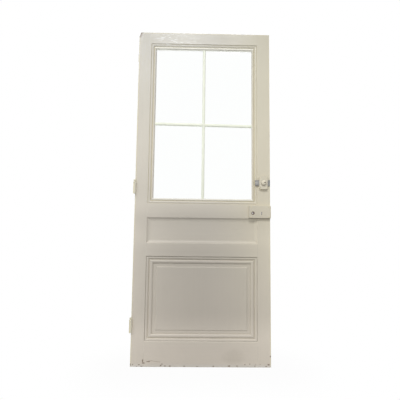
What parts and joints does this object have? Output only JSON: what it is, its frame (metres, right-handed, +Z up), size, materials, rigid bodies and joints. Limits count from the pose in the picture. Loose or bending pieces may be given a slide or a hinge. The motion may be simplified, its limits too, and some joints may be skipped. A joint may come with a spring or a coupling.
{
  "type": "four-pane interior door leaf",
  "caption": "Old painted panelled interior door leaf, glazed above with small panes, raised panel below, with rim lock, rim bolt and lift-off hinge halves.",
  "frame": {"origin": "on the hinge axis, at the bearing face of the bottom hinge's knuckle", "axes": "+Z up along the hinge axis, +X from the hinge side to the lock side, -Y out of the face that carries the lock and the bolt"},
  "size_m": [0.8911, 0.07, 2.18],
  "materials": {
    "painted_wood": "aged cream gloss paint on softwood",
    "window_glass": "clear old sheet glass",
    "putty": "painted linseed putty",
    "painted_iron": "iron under the same cream gloss paint, chipped to rust at the edges",
    "worn_steel": "worn grey steel",
    "brown_iron": "brown tarnished iron"
  },
  "bodies": {
    "leaf": {"hinge_stile": "painted_wood", "lock_stile": "painted_wood", "top_rail": "painted_wood", "lock_rail": "painted_wood", "middle_rail": "painted_wood", "bottom_rail": "painted_wood", "frieze_panel": "painted_wood", "lower_panel": "painted_wood", "glazing_bar_upright": "painted_wood", "glazing_bar_left": "painted_wood", "glazing_bar_right": "painted_wood", "glass_upper_left": "window_glass", "glass_upper_right": "window_glass", "glass_lower_left": "window_glass", "glass_lower_right": "window_glass", "putty_upper_left": "putty", "putty_upper_right": "putty", "putty_lower_left": "putty", "putty_lower_right": "putty", "hinge_bottom": "painted_iron", "hinge_middle": "painted_iron", "hinge_top": "painted_iron", "lock_case": "painted_iron", "lock_forend": "painted_iron", "lock_cover": "worn_steel", "lock_latch": "worn_steel", "lock_deadbolt": "worn_steel", "bolt_plate": "painted_iron", "bolt_housing": "painted_iron"},
    "bolt_slide_bar": {"bolt_bar": "worn_steel"},
    "bolt_turn_knob": {"bolt_knob": "painted_iron"},
    "handle_hub": {"lock_follower": "brown_iron"}
  },
  "joints": [
    {"name": "knob_turn", "type": "hinge", "parent": "leaf", "child": "bolt_turn_knob", "pos_m": [0.837, 0.0095, 0.9535], "axis": [0, 1, 0], "range_deg": [0, 180]},
    {"name": "bolt_slide", "type": "slide", "parent": "leaf", "child": "bolt_slide_bar", "axis": [1, 0, 0], "range_m": [0, 0.01885]},
    {"name": "hub_turn", "type": "hinge", "parent": "leaf", "child": "handle_hub", "pos_m": [0.7675, 0.0095, 0.755], "axis": [0, 1, 0], "range_deg": [0, 35], "stiffness_Nm_per_rad": 0.1}
  ],
  "couplings": [
    {"joint": "bolt_slide", "follows": "knob_turn", "m_per_rad": 0.006}
  ]
}
